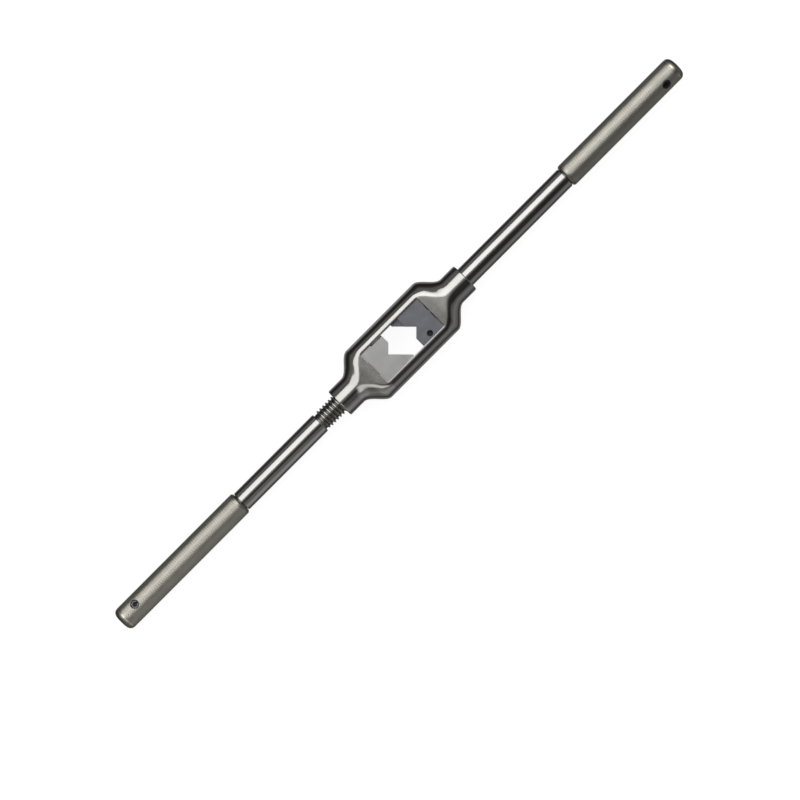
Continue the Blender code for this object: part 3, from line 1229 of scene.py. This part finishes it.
@dataclass
class Handle(ABC):
    """A rod with its nose, its knurled grip, and the hollow spring pin that locks them together."""

    side: Side
    body: Body
    rod_node: str
    grip_node: str
    jaw_node: str
    pin_roll: float
    rod_radius: float = 3.95 * MM
    tail_radius: float = 3.1 * MM
    nose_radius: float = 3.0 * MM
    nose_groove: float = 2.05 * MM
    chamfer: float = 0.3 * MM
    groove_play: float = 0.2 * MM
    edge_soft: float = 0.1 * MM
    grip_radius: float = 4.575 * MM
    grip_chamfer: float = 0.5 * MM
    dome: float = 2.2 * MM
    end_wall: float = 3.0 * MM
    centre_hole: float = 1.0 * MM
    pin_radius: float = 1.5 * MM
    pin_bore: float = 0.9 * MM
    pin_half_length: float = 4.1 * MM
    pin_slit: float = math.radians(34.0)
    pin_edge: float = 0.2 * MM
    knurl_pitch: float = 0.62 * MM
    knurl_angle: float = math.radians(30.0)
    knurl_crease: float = math.radians(16.0)
    mouth_margin: float = 0.3 * MM
    dome_margin: float = 0.2 * MM
    lip: float = 0.05 * MM
    around: int = 92
    rod_steps: int = 96
    hole_steps: int = 40
    pin_steps: int = 36
    dome_steps: int = 10

    @property
    def away(self) -> float:
        """The way that the handle points along X."""
        return float(self.side.value)

    def inner_end(self, node: str) -> float:
        """The end of a plain piece that faces the middle of the tool."""
        low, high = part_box(node)
        return low.x if self.side is Side.FIXED else high.x

    @property
    def grip_start(self) -> float:
        """Where the grip's mouth is."""
        return self.inner_end(self.grip_node)

    @property
    def pin_x(self) -> float:
        """Where the spring pin stands along X."""
        low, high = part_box(f"{self.grip_node}_pin")
        return (low.x + high.x) / 2

    def nose(self) -> Profile:
        """The nose, from its tip to just past the groove that the jaw's pins ride in.

        Returns:
            The profile, open at its far end.
        """
        tip = self.inner_end(self.rod_node)
        pin_low, pin_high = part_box(f"{self.jaw_node}_pin_upper")
        groove = (pin_low.x + pin_high.x) / 2
        half = (pin_high.x - pin_low.x) / 2 + self.groove_play
        soft = self.edge_soft
        away = self.away
        return [
            (tip, 0),
            (tip, self.nose_radius - self.chamfer),
            (tip + away * self.chamfer, self.nose_radius),
            (groove - away * (half + soft), self.nose_radius),
            (groove - away * half, self.nose_radius - soft),
            (groove - away * half, self.nose_groove),
            (groove + away * half, self.nose_groove),
            (groove + away * half, self.nose_radius - soft),
            (groove + away * (half + soft), self.nose_radius),
        ]

    def tail(self) -> Profile:
        """The rod's end under the grip.

        Returns:
            The profile, from the full rod to its far end.
        """
        away = self.away
        end = away * (TOOL_HALF_LENGTH - self.end_wall - GAP)
        shoulder = self.grip_start - away * GAP
        return [
            (shoulder - away * self.chamfer, self.rod_radius),
            (shoulder, self.rod_radius - self.chamfer),
            (shoulder, self.tail_radius),
            (end - away * self.chamfer, self.tail_radius),
            (end, self.tail_radius - self.chamfer),
            (end, 0),
        ]

    def pin_hole(self) -> bmesh.types.BMesh:
        """The cross hole that the spring pin stands in.

        Returns:
            The shape to take out.
        """
        reach = self.grip_radius + OVERCUT
        radius = self.pin_radius + RUNNING_GAP
        outline = arc((0, 0), radius, 0, 2 * math.pi * (1 - 1 / self.hole_steps), self.hole_steps - 1)
        return stacked([[self.across(x, y, up) for x, y in outline] for up in (-reach, reach)])

    def across(self, x: float, y: float, up: float) -> Vector:
        """Turn a point in the spring pin's own directions into a place.

        Args:
            x: along the tool.
            y: across the pin.
            up: along the pin, from the axis.

        Returns:
            The place.
        """
        leaned = Matrix.Rotation(self.pin_roll, 3, "X") @ Vector((0, y, up))
        return Vector((self.pin_x + x, leaned.y, AXIS_HEIGHT + leaned.z))

    def build_pin(self) -> None:
        """Roll the spring pin from strip, with its slit facing the middle of the tool."""
        node = f"{self.grip_node}_pin"
        middle = math.pi if self.side is Side.FIXED else 0.0
        start = middle + self.pin_slit / 2
        end = middle + 2 * math.pi - self.pin_slit / 2
        rings = []
        edge = self.pin_edge
        half = self.pin_half_length
        for up, trim in ((-half, edge), (edge - half, 0.0), (half - edge, 0.0), (half, edge)):
            outline = arc((0, 0), self.pin_radius - trim, start, end, self.pin_steps)
            outline += arc((0, 0), self.pin_bore, end, start, self.pin_steps)
            rings.append([self.across(x, y, up) for x, y in outline])
        pin = set_down(tidy(stacked(rings), node), f"{node}_rolled")
        finished(smoothed(pin), PIN_STEEL, self.body, node)

    def grip_ends(self) -> list[Profile]:
        """The turned ends of the grip.

        Returns:
            The dome with its centre hole, and the mouth with its blind bore.
        """
        away = self.away
        end = away * TOOL_HALF_LENGTH
        dome_x = end - away * self.dome
        bore = self.tail_radius + RUNNING_GAP
        outer: Profile = [(end - away * self.centre_hole, 0), (end, self.centre_hole)]
        for x, radius in arc((0, 0), self.dome, 0, math.pi / 2, self.dome_steps):
            outer.append((dome_x + away * x, self.grip_radius - self.dome + radius))
        outer.append((self.knurl_end - away * self.lip, DiamondKnurl.plain + self.lip))
        outer.append((self.knurl_end, DiamondKnurl.plain))
        mouth: Profile = [
            (self.knurl_start, DiamondKnurl.plain),
            (self.grip_start + away * self.grip_chamfer, self.grip_radius - self.lip),
            (self.grip_start, self.grip_radius - self.grip_chamfer),
            (self.grip_start, bore + self.edge_soft),
            (self.grip_start + away * self.edge_soft, bore),
            (end - away * self.end_wall, bore),
            (end - away * self.end_wall, 0),
        ]
        return [outer, mouth]

    @property
    def knurl_start(self) -> float:
        """Where the knurl begins, beside the grip's mouth."""
        return self.grip_start + self.away * (self.grip_chamfer + self.mouth_margin)

    @property
    def knurl_end(self) -> float:
        """Where the knurl ends, beside the dome."""
        return self.away * (TOOL_HALF_LENGTH - self.dome - self.dome_margin)

    def build_grip(self) -> None:
        """Knurl the sleeve, turn its ends and drill its cross hole."""
        low, high = sorted((self.knurl_start, self.knurl_end))
        half_pitch = self.knurl_pitch / 2 / math.tan(self.knurl_angle)
        rows = round((high - low) / half_pitch)
        knurl = DiamondKnurl(rows + 1, self.around, start=low, end=high)
        sleeve = knurl.build(f"{self.grip_node}_knurled", KNURLED_STEEL)
        joined(sleeve, self.grip_ends(), self.around)
        cut(sleeve, [self.pin_hole()])
        finished(smoothed(sleeve, self.knurl_crease), KNURLED_STEEL, self.body, self.grip_node)

    @abstractmethod
    def build_rod(self) -> None:
        """Turn the rod."""

    def build(self) -> None:
        """Build rod, grip and pin."""
        self.build_rod()
        self.build_grip()
        self.build_pin()


@dataclass
class FixedHandle(Handle):
    """The handle whose rod stands fast in the frame."""

    side: Side = Side.FIXED
    body: Body = Body.FRAME
    rod_node: str = "fixed_handle_rod"
    grip_node: str = "fixed_handle_grip"
    jaw_node: str = "fixed_jaw"
    pin_roll: float = math.radians(31.0)

    def build_rod(self) -> None:
        """Turn the plain rod and drill its cross hole."""
        away = self.away
        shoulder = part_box(self.jaw_node)[1].x + GAP
        profile = self.nose()
        profile += [(shoulder, self.nose_radius), (shoulder, self.rod_radius - self.chamfer)]
        profile.append((shoulder + away * self.chamfer, self.rod_radius))
        profile += self.tail()
        rod = set_down(tidy(turned(profile, self.rod_steps), self.rod_node), f"{self.rod_node}_drawn")
        cut(rod, [self.pin_hole()])
        finished(smoothed(rod), ROD_NICKEL, self.body, self.rod_node)


@dataclass
class AdjustingHandle(Handle):
    """The handle whose rod is a screw that runs in the frame's neck."""

    side: Side = Side.ADJUSTING
    body: Body = Body.ADJUSTING_HANDLE
    rod_node: str = "adjusting_screw"
    grip_node: str = "adjusting_grip"
    jaw_node: str = "sliding_jaw"
    pin_roll: float = math.radians(-15.0)
    thread_shown: float = 9.6 * MM
    thread_steps: int = 64
    relief: float = 0.5 * MM

    def build_rod(self) -> None:
        """Cut the thread, turn the rest of the screw and drill its cross hole."""
        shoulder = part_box(self.jaw_node)[0].x - 2 * GAP
        thread_end = FRAME_LOW.x - self.thread_shown
        start = thread_end + self.relief
        rows = ScrewThread.rows_between(start, shoulder)
        thread = ScrewThread(rows, self.thread_steps, start=start, end=shoulder)
        screw = thread.build(f"{self.rod_node}_cut", ROD_NICKEL)
        nose = self.nose() + [(shoulder, self.nose_radius), (shoulder, thread.root)]
        bar = [
            (start, thread.root),
            (thread_end, thread.root),
            (thread_end, self.rod_radius - self.chamfer),
            (thread_end - self.chamfer, self.rod_radius),
        ]
        joined(screw, [nose, bar + self.tail()], self.thread_steps)
        cut(screw, [self.pin_hole()])
        finished(smoothed(screw), ROD_NICKEL, self.body, self.rod_node)


# ---------------------------------------------------------------- studio


@dataclass
class Studio:
    """Plain pale floor, one long softbox, a weak card, and the camera above."""

    floor_size: float = 6.0
    floor_drop: float = 0.05 * MM
    floor_glow: float = 0.93
    floor_grey: float = 0.25
    softbox_distance: float = 0.8
    softbox_tilt: float = math.radians(28.5)
    softbox_width: float = 0.70
    softbox_length: float = 1.7
    softbox_power: float = 4.5
    card_power: float = 0.18
    card_place: tuple[float, float, float] = (-0.33, -0.50, 0.22)
    card_size: tuple[float, float] = (0.60, 0.80)
    pale: float = 0.98
    room_glow: float = 0.022
    wall_glow: float = 0.12
    panel_glow: float = 0.8
    skirting_glow: float = 0.14
    camera_height: float = 1.2
    camera_turn: float = math.radians(-45.08)
    camera_target: tuple[float, float] = (-14.0 * MM, -14.4 * MM)
    picture_width: float = 285.2 * MM
    sensor: float = 36.0

    def build_floor(self) -> None:
        """A pale floor that metal doesn't mirror and that isn't there from below."""
        half = self.floor_size / 2
        corners = ((-half, -half), (half, -half), (half, half), (-half, half))
        bm = bmesh.new()
        bm.faces.new([bm.verts.new((x, y, -self.floor_drop)) for x, y in corners])
        floor = set_down(as_mesh(bm, "floor"), "floor")
        material = bpy.data.materials.new("pale_floor")
        tree = Tree(emptied(material))
        white = (1.0, 1.0, 1.0, 1.0)
        grey = (self.floor_grey, self.floor_grey, self.floor_grey, 1.0)
        glow = tree.add("ShaderNodeEmission", None, {"Color": white, "Strength": self.floor_glow})
        paper = tree.add("ShaderNodeBsdfDiffuse", None, {"Color": grey})
        lit = tree.add("ShaderNodeAddShader", None, {0: glow.outputs[0], 1: paper.outputs[0]})
        clear = tree.add("ShaderNodeBsdfTransparent")
        under = tree.add("ShaderNodeNewGeometry").outputs["Backfacing"]
        mixed = tree.add("ShaderNodeMixShader", None, {0: under, 1: lit.outputs[0], 2: clear.outputs[0]})
        tree.add("ShaderNodeOutputMaterial", None, {0: mixed.outputs[0]})
        floor.data.materials.append(material)
        floor.visible_glossy = False

    def build_world(self) -> None:
        """Pale to the eye; to the metal, a dim room whose parts have soft edges.

        The ceiling is grey, covers the +Y side and is lighter towards +X. The walls glow faintly. A bright
        panel hangs high on the -X, -Y side, a skirting runs low along the -Y side, and some light comes from
        below.
        """
        world = bpy.data.worlds.new("studio")
        bpy.context.scene.world = world
        tree = Tree(emptied(world))
        x, y, z = tree.axes(tree.add("ShaderNodeTexCoord").outputs["Generated"])
        ceiling = tree.clamp(0.19 + x * 0.45, 0.07, 0.42)
        ceiling = ceiling * tree.step(y, -0.30, -0.02) * tree.step(z, 0.5, 0.85)
        walls = tree.step(z, -0.2, 0.2) * tree.step(z, 0.6, 0.35) * self.wall_glow
        panel = tree.step(x, -0.22, -0.36) * tree.step(y, -0.04, -0.16) * tree.step(z, 0.55, 0.75)
        skirting = tree.step(y, 0.0, -0.3) * tree.step(z, 0.3, 0.0) * tree.step(z, -0.6, -0.3)
        below = tree.step(z, -0.55, -0.85) * (0.25 + y * 0.13)
        glow = self.room_glow + walls + ceiling + panel * self.panel_glow
        glow = glow + skirting * self.skirting_glow + below
        dim = tree.add("ShaderNodeCombineColor", None, {0: glow, 1: glow, 2: glow})
        seen = tree.add("ShaderNodeLightPath").outputs["Is Camera Ray"]
        pale = (self.pale, self.pale, self.pale, 1.0)
        colour = tree.add("ShaderNodeMix", {"data_type": "RGBA"}, {0: seen, 6: dim.outputs[0], 7: pale})
        background = tree.add("ShaderNodeBackground", None, {"Color": colour.outputs[2], "Strength": 1.0})
        tree.add("ShaderNodeOutputWorld", None, {0: background.outputs[0]})

    def hang(self, name: str, place: Vector, size: tuple[float, float], power: float) -> None:
        """Hang an area light that faces the tool.

        Args:
            name: its name.
            place: where it hangs.
            size: its length along X and its width.
            power: its power in watts.
        """
        lamp = bpy.data.lights.new(name, "AREA")
        lamp.shape = "RECTANGLE"
        lamp.size, lamp.size_y = size
        lamp.energy = power
        holder = set_down(lamp, name)
        holder.location = place
        holder.rotation_euler = (-math.atan2(place.y, place.z), 0, 0)
        holder.visible_camera = False

    def build_lights(self) -> None:
        """The softbox on the +Y side, and a weak card low on the other side beside the adjusting handle."""
        tilt = self.softbox_tilt
        above = Vector((0, math.sin(tilt), math.cos(tilt))) * self.softbox_distance
        self.hang("softbox", above, (self.softbox_length, self.softbox_width), self.softbox_power)
        self.hang("card", Vector(self.card_place), self.card_size, self.card_power)

    def build_camera(self) -> None:
        """A long lens straight above, turned so that the handles run across the picture's diagonal."""
        data = bpy.data.cameras.new("camera")
        data.sensor_width = self.sensor
        data.lens = self.sensor * self.camera_height / self.picture_width
        data.clip_start = 0.01
        data.clip_end = 100.0
        camera = set_down(data, "camera")
        camera.location = (*self.camera_target, self.camera_height + AXIS_HEIGHT)
        camera.rotation_euler = (0, 0, self.camera_turn)
        bpy.context.scene.camera = camera

    def build(self) -> None:
        """Build the studio."""
        bpy.context.scene.view_settings.view_transform = "Standard"
        self.build_floor()
        self.build_world()
        self.build_lights()
        self.build_camera()


def main() -> None:
    """Build every sub-assembly in order, then the studio."""
    logging.basicConfig(level=logging.INFO, format="%(name)s: %(message)s")
    ForgedFrame().build()
    VeeJaw("fixed_jaw", Body.FRAME, BLUED_STEEL, back_fit=GAP).build()
    VeeJaw("sliding_jaw", Body.SLIDING_JAW, GROUND_STEEL).build()
    FixedHandle().build()
    AdjustingHandle().build()
    Studio().build()


if __name__ == "__main__":
    main()
